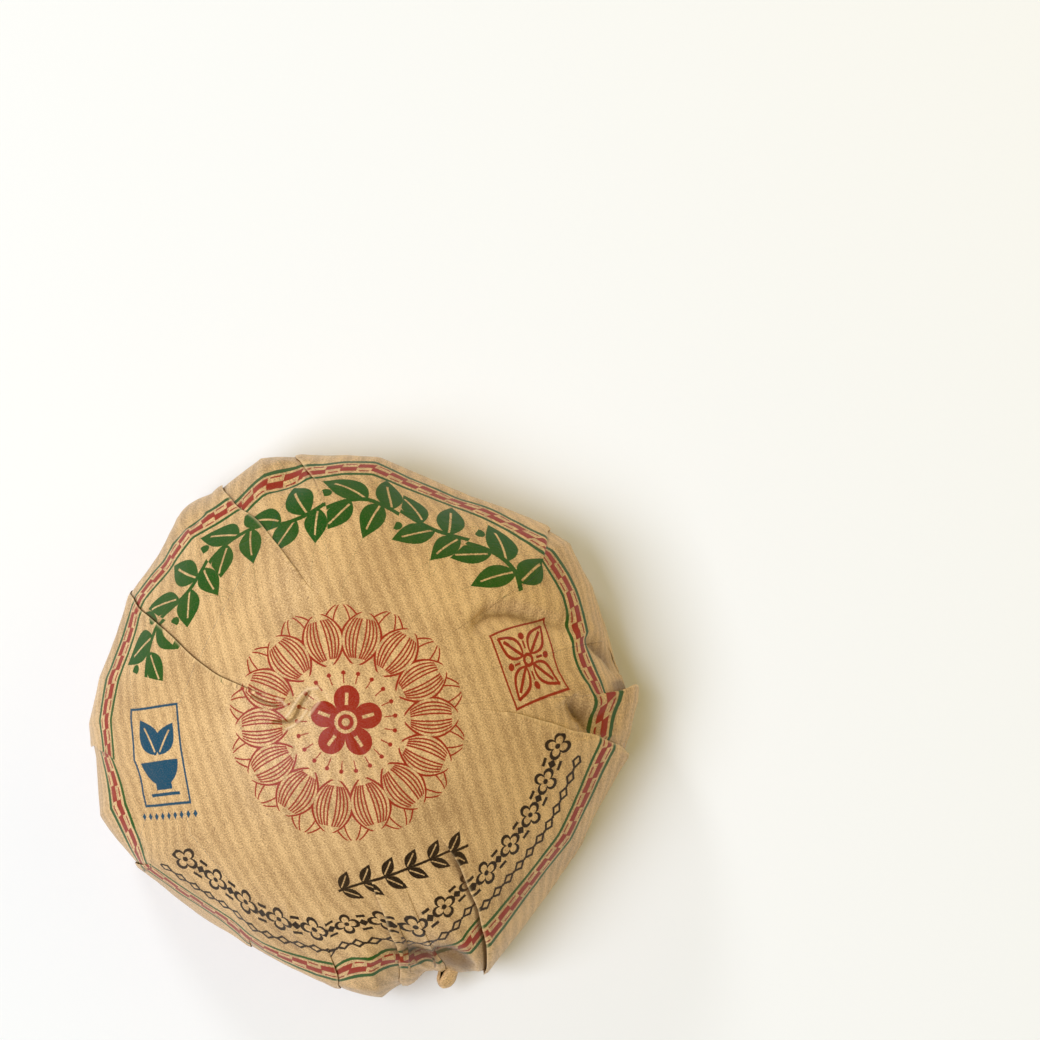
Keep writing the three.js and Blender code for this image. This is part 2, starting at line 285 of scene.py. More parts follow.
# Density of the wrapper's mesh
RING_PITCH = 0.65
RING_PITCH_BELOW = 1.35
COLUMN_PITCH = 0.58
EDGE_STEPS = (0.12, 0.4, 0.66, 0.9, 1.2, 1.7)
FOLD_EDGE = 0.12


def smooth(x, low, high):
    """A smooth step from 0 at low to 1 at high."""
    t = np.clip((np.asarray(x, float) - low) / (high - low), 0, 1)
    return t * t * (3 - 2 * t)


def polar(r, degrees):
    """A point at a distance and an azimuth."""
    return r * math.cos(math.radians(degrees)), r * math.sin(math.radians(degrees))


# The profile of the unpleated wrapper
def profile_table():
    """Arc from the apex, radius and height along the profile, over the rim and into the hollow."""
    steps = np.linspace(0, 1, PROFILE_POINTS)
    a = steps * math.pi / 2
    dome_r = CAKE_RADIUS * np.sin(a) ** (2 / DOME_POWER)
    dome_z = WIDEST_HEIGHT + (CAKE_HEIGHT - WIDEST_HEIGHT) * np.cos(a) ** (2 / DOME_POWER)
    rim_r = FOOT_OUTER + (CAKE_RADIUS - FOOT_OUTER) * np.cos(a)
    rim_z = WIDEST_HEIGHT * (1 - np.sin(a))
    in_r = FOOT_INNER * (1 - steps)
    in_z = HOLLOW_DEPTH * (1 - (in_r / FOOT_INNER) ** HOLLOW_POWER) ** LIP_POWER
    knot = KNOT_HEIGHT * np.exp(-((in_r / KNOT_RADIUS) ** 2))
    in_z = in_z - knot * smooth(FOOT_INNER - in_r, 0, KNOT_RADIUS)
    r = np.concatenate([dome_r, rim_r[1:], in_r])
    z = np.concatenate([dome_z, rim_z[1:], in_z])
    arc = np.concatenate([[0], np.cumsum(np.hypot(np.diff(r), np.diff(z)))])
    return arc, r, z


ARC, ARC_R, ARC_Z = profile_table()
WIDEST_ARC = ARC[PROFILE_POINTS - 1]
FOOT_START = ARC[2 * PROFILE_POINTS - 2]
FOOT_END = ARC[2 * PROFILE_POINTS - 1]
END_ARC = ARC[-1]


def profile(arc):
    """Radius, height and outward normal of the profile at arcs."""
    step = 0.35
    ahead = np.clip(np.asarray(arc) + step, 0, END_ARC)
    behind = np.clip(np.asarray(arc) - step, 0, END_ARC)
    dr = np.interp(ahead, ARC, ARC_R) - np.interp(behind, ARC, ARC_R)
    dz = np.interp(ahead, ARC, ARC_Z) - np.interp(behind, ARC, ARC_Z)
    length = np.hypot(dr, dz)
    return np.interp(arc, ARC, ARC_R), np.interp(arc, ARC, ARC_Z), -dz / length, dr / length


def outline_stand_off(azimuth):
    """How far the paper's outline stands off the cake at azimuths in degrees."""
    radius = np.full(azimuth.shape, CAKE_RADIUS)
    for i, (corner, reach) in enumerate(CORNERS):
        away = np.radians(np.abs((azimuth - corner + 180) % 360 - 180))
        tangent = math.acos(CAKE_RADIUS / reach) - away
        radius = np.where(tangent > 0, np.maximum(radius, CAKE_RADIUS / np.cos(tangent)), radius)
        next_corner, next_reach = CORNERS[(i + 1) % len(CORNERS)]
        width = (next_corner - corner) % 360
        inside = (azimuth - corner) % 360
        share = reach * np.sin(np.radians(inside)) + next_reach * np.sin(np.radians(width - inside))
        chord = reach * next_reach * math.sin(math.radians(width)) / np.maximum(share, 1e-6)
        radius = np.where(inside < width, np.maximum(radius, chord), radius)
    for centre, depth, width in PRESSED:
        away = (azimuth - centre + 180) % 360 - 180
        radius = radius - depth * np.exp(-((away / width) ** 2))
    return radius - CAKE_RADIUS


def from_view(point):
    """A point that the camera sees on the wrapper's dome, as (arc, azimuth in degrees)."""
    sx, sy = point
    z = WIDEST_HEIGHT
    arcs, radius, height = (table[:PROFILE_POINTS] for table in (ARC, ARC_R, ARC_Z))
    _, _, normal_r, normal_z = profile(arcs)
    rising = smooth(arcs, STAND_OFF_START, STAND_OFF_FULL)
    for _ in range(8):
        scale = (CAMERA_DISTANCE + WIDEST_HEIGHT - z) / CAMERA_DISTANCE
        x = sx * scale + VIEW_TILT[0] * (z - WIDEST_HEIGHT)
        y = sy * scale + VIEW_TILT[1] * (z - WIDEST_HEIGHT)
        azimuth = math.degrees(math.atan2(y, x))
        stand_off = outline_stand_off(np.array([azimuth]))[0] * rising
        reached = np.maximum.accumulate(radius + stand_off * normal_r)
        r = math.hypot(x, y)
        arc = float(np.interp(min(r, reached[-1] - 0.02), reached, arcs))
        z = float(np.interp(arc, arcs, height + stand_off * normal_z))
    return arc + max(0.0, r - reached[-1]), azimuth


# The creases of the pleats
def crease_azimuths(arcs):
    """Azimuth in degrees of every crease at arcs, and the arcs that the creases reach inwards to."""
    rows = []
    reach = []
    for index, pleat in enumerate(PLEATS):
        points = sorted(from_view(p) for p in pleat.path)
        at = np.array([p[0] for p in points])
        azimuth = np.degrees(np.unwrap(np.radians([p[1] for p in points])))
        reach.append(at[0])
        line = np.interp(arcs, at, azimuth)
        kernel = np.hanning(9)
        padded = np.pad(line, 4, mode="edge")
        line = np.convolve(padded, kernel / kernel.sum(), mode="valid")
        wander = np.sin(arcs / 3.1 + 2.3 * index) + 0.6 * np.sin(arcs / 1.3 + 4.1 * index)
        line = line + CREASE_WANDER * wander * smooth(arcs, at[0], at[0] + 9)
        rows.append(line + TWIST * smooth(arcs, FOOT_END, END_ARC) ** 2)
    rows = np.array(rows)
    for k in range(1, len(rows)):
        while rows[k][-1] < rows[k - 1][-1]:
            rows[k] += 360
    return rows, np.array(reach)[:, None]


# The cross-section of a fold whose counter-clockwise paper lies on top, from the lower panel to
# the upper: offset along the rim, share of the lift, layers of paper below, share of hidden
# paper, and painted light and wear (-1 for painted shade inside the fold, 1 on its edge, painted
# pale partly as rubbed wear and partly as a painted highlight)
FOLD = [
    (0.42, 0.0, 0.0, 0.12, -1.0), (0.80, 0.02, 0.3, 0.30, -1.0), (0.92, 0.10, 1.0, 0.42, -1.0),
    (0.80, 0.20, 1.7, 0.52, -1.0), (0.30, 0.48, 2.2, 0.62, -1.0), (-0.22, 0.74, 2.4, 0.76, -1.0),
    (-0.50, 0.88, 2.4, 0.86, -0.8), (-0.62, 0.93, 2.9, 0.92, 0.3), (-0.58, 0.98, 3.5, 0.96, 1.0),
    (-0.40, 1.0, 3.7, 0.98, 0.5),
]


def wrapper_columns():
    """Columns of the grid: those of every fold, and those of the panel after it."""
    columns = []
    rims = [from_view(p.path[0])[1] % 360 for p in PLEATS]
    for k, pleat in enumerate(PLEATS):
        fold = FOLD
        if pleat.lap < 0:
            fold = [(-offset, *heights, 1 - share, painted_light_and_wear) for offset, *heights, share, painted_light_and_wear in reversed(FOLD)]
        for i, (offset, lift, layers, share, painted_light_and_wear) in enumerate(fold):
            base = FOLD_EDGE * (2 * (i + 1) / (len(fold) + 1) - 1)
            columns.append(dict(fold=True, k=k, offset=offset, lift=lift, layers=layers, share=share,
                                base=base, painted_light_and_wear=painted_light_and_wear))
        width = math.radians((rims[(k + 1) % len(PLEATS)] - rims[k]) % 360) * CAKE_RADIUS
        near = [e for e in EDGE_STEPS if e < width * 0.4]
        rest = np.linspace(near[-1], width - near[-1], max(2, round(width / COLUMN_PITCH)))[1:-1]
        for e in near + list(rest) + [width - e for e in reversed(near)]:
            columns.append(dict(fold=False, k=k, t=e / width, width=width))
    return columns


def undulation(points, wavelength, seed):
    """A smooth random field from waves in random directions, about 1 at its peaks."""
    count = 14
    rng = np.random.default_rng(seed)
    total = np.zeros(points.shape[:-1])
    for _ in range(count):
        direction = rng.normal(size=3)
        direction /= np.linalg.norm(direction)
        wave = points @ direction * TAU * rng.uniform(0.7, 1.5) / wavelength
        total += np.sin(wave + rng.uniform(0, TAU))
    return total / math.sqrt(count)


def dent_heights(x, y):
    """Height, and painted shade, painted highlight and wear, of the single folds and dents over plan points.
    """
    total = np.zeros(x.shape)
    painted_light_and_wear_values = np.zeros(x.shape)
    for height, width, painted_light_and_wear, edge, line in DENTS:
        plan = []
        for point in line:
            arc, azimuth = from_view(point)
            plan.append(polar(np.interp(arc, ARC, ARC_R), azimuth))
        best = np.full(x.shape, 1e9)
        side = np.zeros(x.shape)
        along = np.zeros(x.shape)
        for i in range(len(plan) - 1):
            (x0, y0), (x1, y1) = plan[i], plan[i + 1]
            dx, dy = x1 - x0, y1 - y0
            length = math.hypot(dx, dy)
            t = np.clip(((x - x0) * dx + (y - y0) * dy) / length**2, 0, 1)
            distance = np.hypot(x - x0 - t * dx, y - y0 - t * dy)
            nearer = distance < best
            cross = ((x - x0) * dy - (y - y0) * dx) / length
            best = np.where(nearer, distance, best)
            side = np.where(nearer, cross, side)
            along = np.where(nearer, (i + t) / (len(plan) - 1), along)
        ends = np.sin(np.pi * np.clip(along, 0.0, 1.0)) ** 0.6
        fading = np.exp(-best / width) * ends
        painted_light_and_wear_values += painted_light_and_wear * fading
        if edge:
            total -= height * fading / (1 + np.exp(-np.clip(side / edge, -30, 30)))
        else:
            total += height * fading
    return total, painted_light_and_wear_values


def crumple_sheet(seed, pitch_along, pitch_across):
    """Creased paper in polar sheet coordinates: straight creases between points of random height."""
    rng = np.random.default_rng(seed)
    around = TAU * 50.0
    columns = round(around / pitch_across)
    rows = round((END_ARC + 8) / pitch_along)
    points = []
    heights = []
    for row in range(-1, rows + 2):
        for column in range(columns):
            a = (column + 0.5 * (row % 2) + rng.uniform(-0.42, 0.42)) * around / columns
            b = (row + rng.uniform(-0.42, 0.42)) * pitch_along
            h = rng.uniform(-1, 1)
            for turn in (-1, 0, 1):
                if -30 < a + turn * around < around + 30:
                    points.append(Vector((a + turn * around, b)))
                    heights.append(h)
    corners, _, faces, origins, _, _ = geometry.delaunay_2d_cdt(points, [], [], 0, 1e-5)
    solid = [(v.x, v.y, heights[origins[i][0]]) for i, v in enumerate(corners)]
    return BVHTree.FromPolygons(solid, faces), around


def crumple_heights(sheet, phi, rho):
    """Height of a crumpled sheet at sheet coordinates: degrees and millimetres."""
    tree, around = sheet
    across = np.radians(phi % 360) * around / TAU
    down = Vector((0, 0, -1))
    out = np.zeros(phi.size)
    for i, (a, b) in enumerate(zip(across.ravel(), rho.ravel())):
        hit = tree.ray_cast(Vector((a, b, 5)), down)[0]
        out[i] = hit.z if hit else 0
    return out.reshape(phi.shape)


# The flat sheet
def sheet_turns(arcs, r, creases, reach, rim_lift):
    """Where every panel starts on the flat sheet, its width there and on the cake, in degrees."""
    hidden = 1 - np.minimum(1, r / arcs)
    in_pleats = HIDDEN_SHARE * hidden * smooth(arcs, HIDDEN_START, HIDDEN_FULL)
    weight = (PLEAT_WEIGHT + rim_lift) * smooth(arcs, reach, reach + PLEAT_GROWTH) + 1e-3
    delta = 360 * in_pleats * weight / weight.sum(axis=0)
    spans = np.roll(creases, -1, axis=0) - creases
    spans[-1] += 360
    shown = spans * (1 - in_pleats)
    starts = [creases[0]]
    for k in range(1, len(creases)):
        starts.append(starts[-1] + shown[k - 1] + delta[k])
    starts = np.array(starts)
    drift = starts + shown / 2 - creases - spans / 2
    starts -= (drift * spans).sum(axis=0) / 360
    return starts, shown, spans


def drawn_inwards(arcs, reach):
    """How far the sheet is drawn inwards just before and after every pleat and between them."""
    before, after, middle = (np.array([p.ring[i] for p in PLEATS])[:, None] for i in range(3))
    parted = smooth(arcs, reach - 1, reach + 7)
    common = (before + after) / 2
    drawn = smooth(arcs, DRAWN_START, DRAWN_FULL)
    before = (common + (before - common) * parted) * drawn
    after = (common + (after - common) * parted) * drawn
    return before, after, middle * drawn


def crumple_fields(columns, beside, arcs, phi, rho):
    """Heights of the coarse and the fine crumple, the same on all layers of a fold."""
    flat = [not column["fold"] for column in columns]
    below = smooth(arcs, WIDEST_ARC, FOOT_START)
    fields = []
    for measures in (CRUMPLE_COARSE, CRUMPLE_FINE):
        field = np.zeros_like(phi)
        field[flat] = crumple_heights(crumple_sheet(*measures), phi[flat], rho[flat])
        for c, column in enumerate(columns):
            rough = PLEATS[column["k"]].rough
            field[c] *= rough + (CRUMPLE_BELOW - rough) * below
        for k in range(len(PLEATS)):
            layers = [c for c, column in enumerate(columns) if column["fold"] and column["k"] == k]
            level = (field[layers[0] - 1] + field[layers[-1] + 1]) / 2
            field[layers] = level
            for c, away in beside[k]:
                field[c] = level + (field[c] - level) * smooth(away, 0.4, 2.6)
        fields.append(field)
    return fields


# The wrapper
def wrapper_grid(axis):
    """Positions, flat paper coordinates in millimetres, and painted shade, painted highlight and wear, of
    every ring and column.
    """
    upper = np.linspace(0, FOOT_START, round(FOOT_START / RING_PITCH) + 1)
    lower = np.linspace(FOOT_START, END_ARC, round((END_ARC - FOOT_START) / RING_PITCH_BELOW) + 1)
    arcs = np.concatenate([upper[1:], lower[1:-1]])
    creases, reach = crease_azimuths(arcs)
    columns = wrapper_columns()
    r, z, nr, nz = profile(arcs)
    count = len(PLEATS)
    begun = smooth(arcs, reach, reach + PLEAT_FADE)
    outside = 1 - smooth(arcs, WIDEST_ARC + 1, FOOT_START - 1)
    on_floor = smooth(arcs, FOOT_START - 4, FOOT_START) * (1 - smooth(arcs, FOOT_END, FOOT_END + 4))
    inside = LIFT_IN_HOLLOW * smooth(arcs, FOOT_END + 1.5, FOOT_END + 9)
    inside = inside * (1 - smooth(arcs, END_ARC - 9, END_ARC))
    strength = outside + inside + LIFT_ON_FLOOR
    dome_lift, rim_lift = (np.array([p.lift[i] for p in PLEATS])[:, None] for i in (0, 1))
    vary = 1 + 0.25 * np.sin(arcs / 4.3 + np.arange(count)[:, None] * 1.7)
    lift = dome_lift + (rim_lift - dome_lift) * smooth(arcs, LIFT_START, LIFT_FULL)
    lift = lift * vary * begun * strength
    top = lift + FOLD[-1][2] * PAPER_GAP * begun

    starts, shown, spans = sheet_turns(arcs, r, creases, reach, rim_lift)
    before, after, middle = drawn_inwards(arcs, reach)

    azimuth = np.zeros((len(columns), len(arcs)))
    height, shift, phi, rho, painted_light_and_wear = (np.zeros_like(azimuth) for _ in range(5))
    beside = [[] for _ in PLEATS]
    for c, column in enumerate(columns):
        k = column["k"]
        if column["fold"]:
            room = np.minimum(1, r / 9) * begun[k] * np.minimum(strength + 0.15, 1.2)
            azimuth[c] = creases[k] + np.degrees(column["base"] / CAKE_RADIUS)
            shift[c] = column["offset"] * room
            height[c] = column["lift"] * lift[k] + column["layers"] * PAPER_GAP * begun[k]
            height[c] -= top[k] * on_floor
            previous = k - 1 if k else count - 1
            end_phi = starts[previous] + shown[previous] - (0 if k else 360)
            phi[c] = end_phi + (starts[k] - end_phi) * column["share"]
            rho[c] = arcs + before[k] + (after[k] - before[k]) * column["share"]
            # Painted shade inside the fold, scaled by the pleat's dark; its edge painted pale, partly as
            # rubbed wear and partly as a painted highlight
            painted_light_and_wear[c] = column["painted_light_and_wear"] * begun[k] * (PLEATS[k].dark if column["painted_light_and_wear"] < 0 else 1)
            continue
        t = column["t"]
        following = (k + 1) % count
        azimuth[c] = creases[k] + t * spans[k]
        phi[c] = starts[k] + t * shown[k]
        rho[c] = arcs + after[k] * (1 - t) * (1 - 2 * t) + before[following] * t * (2 * t - 1)
        rho[c] += middle[k] * 4 * t * (1 - t)
        for edge, upper_side, away in ((k, 1, t), (following, -1, 1 - t)):
            away = away * column["width"]
            beside[edge].append((c, away))
            near = top[edge] * np.exp(-away / PLEAT_SLOPE)
            height[c] -= near * on_floor
            if PLEATS[edge].lap == upper_side:
                height[c] += near
            else:
                # Painted shade on the lower panel just beside the edge of the paper on top
                painted_light_and_wear[c] -= begun[edge] * (1 - smooth(away, 0.62, 1.1)) * PLEATS[edge].dark
        waves = max(1, round(column["width"] / GATHER_PITCH))
        gathered = smooth(arcs, WIDEST_ARC - 1, WIDEST_ARC + 5) * np.minimum(1, outside + inside)
        ripple = 0.5 - 0.5 * np.cos(TAU * waves * t + 1.4 * np.sin(arcs / 7 + k))
        height[c] += GATHER_HEIGHT * gathered * ripple * math.sin(math.pi * t) ** 0.5

    rising = smooth(arcs, STAND_OFF_START, STAND_OFF_FULL)
    falling = 1 - smooth(arcs, WIDEST_ARC, FOOT_START - 1)
    height += outline_stand_off(azimuth) * (rising * falling)

    rim = smooth(arcs, RIM_START, RIM_FULL)
    free = 1 - on_floor
    coarse, fine = crumple_fields(columns, beside, arcs, phi, rho)
    angle = np.radians(azimuth)
    plan_x = r * np.cos(angle)
    plan_y = r * np.sin(angle)
    points = np.stack([plan_x, plan_y, np.broadcast_to(z, plan_x.shape)], axis=-1)
    patches = 0.5 + 0.5 * np.tanh(1.6 * undulation(points, *PATCHES))
    height += coarse * free * (COARSE_HEIGHT[0] + COARSE_HEIGHT[1] * rim) * (0.5 + 0.7 * patches)
    height += fine * free * (FINE_HEIGHT[0] + FINE_HEIGHT[1] * rim) * (0.3 + patches)
    height += undulation(points, *SWELL) * free * (SWELL_HEIGHT[0] + SWELL_HEIGHT[1] * rim)
    seen = 1 - smooth(arcs, WIDEST_ARC - 1, WIDEST_ARC + 4)
    dented, painted_light_and_wear_values = dent_heights(plan_x, plan_y)
    height += dented * seen
    painted_light_and_wear += painted_light_and_wear_values * seen
    height *= smooth(arcs, 0.0, 3.0)

    out = np.maximum(r + height * nr, 0.02)
    turn = angle + shift / np.maximum(out, 4)
    up = np.maximum(z + height * nz, 0.0)
    xyz = np.stack([out * np.cos(turn) + axis.x / MM, out * np.sin(turn) + axis.y / MM, up], axis=-1)
    paper = np.stack([rho * np.cos(np.radians(phi)), rho * np.sin(np.radians(phi))], axis=-1)
    return xyz, paper, np.clip(painted_light_and_wear, -1, 1)


def new_object(name, data, material=None):
    """An object in the scene, with a material if it is a mesh."""
    thing = bpy.data.objects.new(name, data)
    bpy.context.collection.objects.link(thing)
    if material:
        data.materials.append(material)
    return thing


def new_material(name):
    """A material, its nodes and its principled shader."""
    material = bpy.data.materials.new(name)
    material.use_nodes = True
    return material, material.node_tree, material.node_tree.nodes["Principled BSDF"]


def paper_piece(name, vertices, faces, places, painted_light_and_wear, material):
    """A smooth piece of paper, with the places of its faces' corners on the flat sheet and its painted
    shade, painted highlight and wear.
    """
    mesh = bpy.data.meshes.new(name)
    mesh.from_pydata(vertices.tolist(), [], faces)
    layer = mesh.uv_layers.new(name="paper")
    layer.data.foreach_set("uv", places.ravel())
    painted_light_and_wear_values = mesh.attributes.new(name="painted_light_and_wear", type="FLOAT", domain="POINT")
    painted_light_and_wear_values.data.foreach_set("value", painted_light_and_wear)
    mesh.polygons.foreach_set("use_smooth", [True] * len(mesh.polygons))
    mesh.update()
    return new_object(name, mesh, material)


def build_wrapper(axis, material):
    """The paper wrapper as one closed skin."""
    xyz, paper, painted_light_and_wear = wrapper_grid(axis)
    columns, rings = xyz.shape[:2]
    top = [[axis.x / MM, axis.y / MM, CAKE_HEIGHT]]
    bottom = [[axis.x / MM, axis.y / MM, HOLLOW_DEPTH - KNOT_HEIGHT]]
    vertices = np.concatenate([xyz.reshape(-1, 3), top, bottom]) * MM
    apex, pole = columns * rings, columns * rings + 1
    c = np.arange(columns)
    nxt = (c + 1) % columns
    bands = []
    for i in range(rings - 1):
        a, b = c * rings + i, nxt * rings + i
        bands.append(np.stack([a, a + 1, b + 1, b], axis=1))
    quads = np.concatenate(bands)
    first, second = c * rings, nxt * rings
    caps = [(apex, int(p), int(q)) for p, q in zip(first, second)]
    ends = [(pole, int(q), int(p)) for p, q in zip(first + rings - 1, second + rings - 1)]
    flat = paper.reshape(-1, 2)
    places = [flat[quads].reshape(-1, 2)]
    for _, p, q in caps:
        places.append(np.array([(0.0, 0.0), flat[p], flat[q]]))
    for _, q, p in ends:
        places.append(np.array([flat[p] * 1.01, flat[q], flat[p]]))
    faces = quads.tolist() + caps + ends
    painted_light_and_wear = np.append(painted_light_and_wear.ravel(), (0.0, 0.0))
    wrapper = paper_piece("paper_wrapper", vertices, faces, np.concatenate(places), painted_light_and_wear, material)
    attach(wrapper, "root")
    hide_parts("wrapped_tea_cake")


def build_tip(axis, material):
    """The rolled tip of paper at the rim: a hood closed at its end, its mouth up and clockwise."""
    root, end = (np.array([*polar(r, azimuth), z]) for azimuth, r, z in (TIP_ROOT, TIP_END))
    along = (end - root) / np.linalg.norm(end - root)
    side = np.cross(along, (0.0, 0.0, 1.0))
    side = -side / np.linalg.norm(side)
    over = np.cross(along, side)
    over = over * np.sign(over[2])
    share = np.linspace(0, 1, TIP_ROWS + 1)[:, None]
    turn = np.linspace(-1, 1, TIP_COLUMNS + 1)
    radius = TIP_RADIUS * (0.75 + 0.25 * smooth(share, 0, 0.4))
    radius = radius * np.sqrt(np.maximum(0.006, 1 - np.maximum(0, (share - 0.5) / 0.5) ** 2.4))
    half_turn = np.radians(TIP_HALF_TURN + TIP_CLOSING * smooth(share, 0.5, 0.8))
    angle = math.radians(TIP_FACING) + half_turn * turn
    curl = 1 - TIP_CURL * (1 + turn) * (1 - smooth(share, 0.6, 0.95))
    crumple = 1 + 0.05 * np.sin(4 * angle + 9 * share) + 0.03 * np.sin(7 * angle - 14 * share)
    skins = []
    for inset in (0.0, TIP_PAPER):
        distance = np.maximum(radius * curl * crumple - inset, 0.02)
        place = root + share[..., None] * (end - root)
        place = place + (distance * np.cos(angle))[..., None] * side
        place = place + (distance * np.sin(angle))[..., None] * over
        skins.append(place - along * inset * smooth(share, 0.66, 1.0)[..., None])
    rows, columns = skins[0].shape[:2]
    vertices = np.concatenate([skin.reshape(-1, 3) for skin in skins])
    vertices = (vertices + np.array([axis.x, axis.y, 0.0]) / MM) * MM
    number = np.arange(rows * columns).reshape(rows, columns)
    inner = number + rows * columns
    faces = []
    for i in range(rows - 1):
        for j in range(columns - 1):
            faces.append((number[i, j], number[i + 1, j], number[i + 1, j + 1], number[i, j + 1]))
            faces.append((inner[i, j], inner[i, j + 1], inner[i + 1, j + 1], inner[i + 1, j]))
    border = [(0, j) for j in range(columns)] + [(i, columns - 1) for i in range(1, rows)]
    border += [(rows - 1, j) for j in range(columns - 2, -1, -1)] + [(i, 0) for i in range(rows - 2, 0, -1)]
    for k, here in enumerate(border):
        there = border[(k + 1) % len(border)]
        faces.append((number[here], number[there], inner[there], inner[here]))
    faces = np.array(faces)
    phi = np.radians(TIP_ROOT[0]) + (radius * half_turn * turn) / TIP_PRINT_RADIUS
    rho = TIP_PRINT_START + TIP_PRINT_LENGTH * share + 0 * turn
    sheet = np.stack([rho * np.cos(phi), rho * np.sin(phi)], axis=-1).reshape(-1, 2)
    places = np.concatenate([sheet, sheet])[faces]
    # The rim of the outer skin is painted pale, and the whole inner skin gets painted shade
    edge = np.abs(turn) * (1 - smooth(share, 0.5, 0.9))
    outside = 0.8 * smooth(edge, 0.93, 1.0)
    painted_light_and_wear = np.concatenate([outside.ravel(), np.full(outside.size, -0.75)])
    tip = paper_piece("rolled_paper_tip", vertices, faces.tolist(), places, painted_light_and_wear, material)
    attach(tip, "root")


# Shader arithmetic
class Value:
    """A number in a shader; arithmetic on it makes math nodes."""

    def __init__(self, tree, socket):
        self.tree = tree
        self.socket = socket

    def math(self, operation, *others, clamp=False):
        node = self.tree.nodes.new("ShaderNodeMath")
        node.operation = operation
        node.use_clamp = clamp
        for slot, value in enumerate((self,) + others):
            if isinstance(value, Value):
                self.tree.links.new(value.socket, node.inputs[slot])
            else:
                node.inputs[slot].default_value = value
        return Value(self.tree, node.outputs[0])

    def __add__(self, other):
        return self.math("ADD", other)

    def __sub__(self, other):
        return self.math("SUBTRACT", other)

    def __mul__(self, other):
        return self.math("MULTIPLY", other)

    def __truediv__(self, other):
        return self.math("DIVIDE", other)

    def __neg__(self):
        return self.math("MULTIPLY", -1.0)

    def __abs__(self):
        return self.math("ABSOLUTE")

    def less(self, other):
        return self.math("MINIMUM", other)

    def more(self, other):
        return self.math("MAXIMUM", other)

    def sin(self):
        return self.math("SINE")

    def cos(self):
        return self.math("COSINE")

    def fract(self):
        return self.math("FRACT")

    def clamped(self):
        return self.math("MULTIPLY", 1.0, clamp=True)

    def smooth(self, low, high, out_low=0.0, out_high=1.0):
        node = self.tree.nodes.new("ShaderNodeMapRange")
        node.interpolation_type = "SMOOTHSTEP"
        self.tree.links.new(self.socket, node.inputs["Value"])
        node.inputs["From Min"].default_value = low
        node.inputs["From Max"].default_value = high
        node.inputs["To Min"].default_value = out_low
        node.inputs["To Max"].default_value = out_high
        return Value(self.tree, node.outputs["Result"])


def length(x, y):
    """Distance from the origin."""
    return (x * x + y * y).math("SQRT")


def angle_of(x, y):
    """Angle of a point about the origin, in radians."""
    return y.math("ARCTAN2", x)


def placed(x, y, cx, cy, degrees):
    """Coordinates about a centre, turned so that the local x axis lies at an angle."""
    c, s = math.cos(math.radians(degrees)), math.sin(math.radians(degrees))
    dx, dy = x - cx, y - cy
    return dx * c + dy * s, dy * c - dx * s


def box(x, y, cx, cy, half_x, half_y):
    """Distance outside a rectangle."""
    return (abs(x - cx) - half_x).more(abs(y - cy) - half_y)


def ring(distance, half_width):
    """A line along the edge of a shape."""
    return abs(distance) - half_width


def nearest(*shapes):
    """Several shapes as one."""
    whole = shapes[0]
    for shape in shapes[1:]:
        whole = whole.less(shape)
    return whole


def leaf(x, y, base_x, base_y, degrees, long, half_width, bend=0.0, vein=0.16):
    """Distance outside a pointed leaf with a slit along its middle."""
    a, b = placed(x, y, base_x, base_y, degrees)
    share = (a / long).clamped()
    if bend:
        b = b - share * share * bend
    edge = (share.math("POWER", 0.82) * math.pi).sin() * half_width
    shape = abs(b) - edge
    slit = box(a, b, long * 0.42, 0.0, long * 0.34, vein)
    return shape.more(-slit)


def dot(x, y, cx, cy, radius):
    """Distance outside a disc."""
    return length(x - cx, y - cy) - radius


def cover(distance):
    """How much ink lies inside a shape's edge."""
    return distance.math("MULTIPLY_ADD", -1.0 / INK_EDGE, 0.5, clamp=True)


def cells(turn, middle, low, span, count):
    """A place in a row of cells along an arc: in cells, from a cell's middle, the pitch, past the ends."""
    pitch = span * middle / count
    place = (turn - low) * (count / span)
    return place, (place.fract() - 0.5) * pitch, pitch, (abs(place - count / 2) - count / 2) * pitch


def sector(r, a, count, shift=0.0):
    """Distance along the circle from the middle of the nearest of equal sectors."""
    return ((a * (count / TAU) + shift).fract() - 0.5) * r * (TAU / count)


def about(x, y, scale_x, scale_y, detail, rough, turn=0.0, distort=0.0):
    """Noise over the paper, with scales in cycles per millimetre."""
    tree = x.tree
    u, v = placed(x, y, 0.0, 0.0, turn)
    joined = tree.nodes.new("ShaderNodeCombineXYZ")
    tree.links.new((u * scale_x).socket, joined.inputs[0])
    tree.links.new((v * scale_y).socket, joined.inputs[1])
    node = tree.nodes.new("ShaderNodeTexNoise")
    node.noise_dimensions = "2D"
    tree.links.new(joined.outputs[0], node.inputs["Vector"])
    node.inputs["Scale"].default_value = 1.0
    node.inputs["Detail"].default_value = detail
    node.inputs["Roughness"].default_value = rough
    node.inputs["Distortion"].default_value = distort
    return Value(tree, node.outputs["Fac"])


def mixed(share, low, high):
    """A colour between two, each a colour or a socket."""
    tree = share.tree
    node = tree.nodes.new("ShaderNodeMix")
    node.data_type = "RGBA"
    tree.links.new(share.socket, node.inputs["Factor"])
    for name, colour in (("A", low), ("B", high)):
        slot = next(s for s in node.inputs if s.name == name and s.type == "RGBA")
        if isinstance(colour, tuple):
            slot.default_value = (*colour, 1)
        else:
            tree.links.new(colour, slot)
    return next(s for s in node.outputs if s.type == "RGBA")


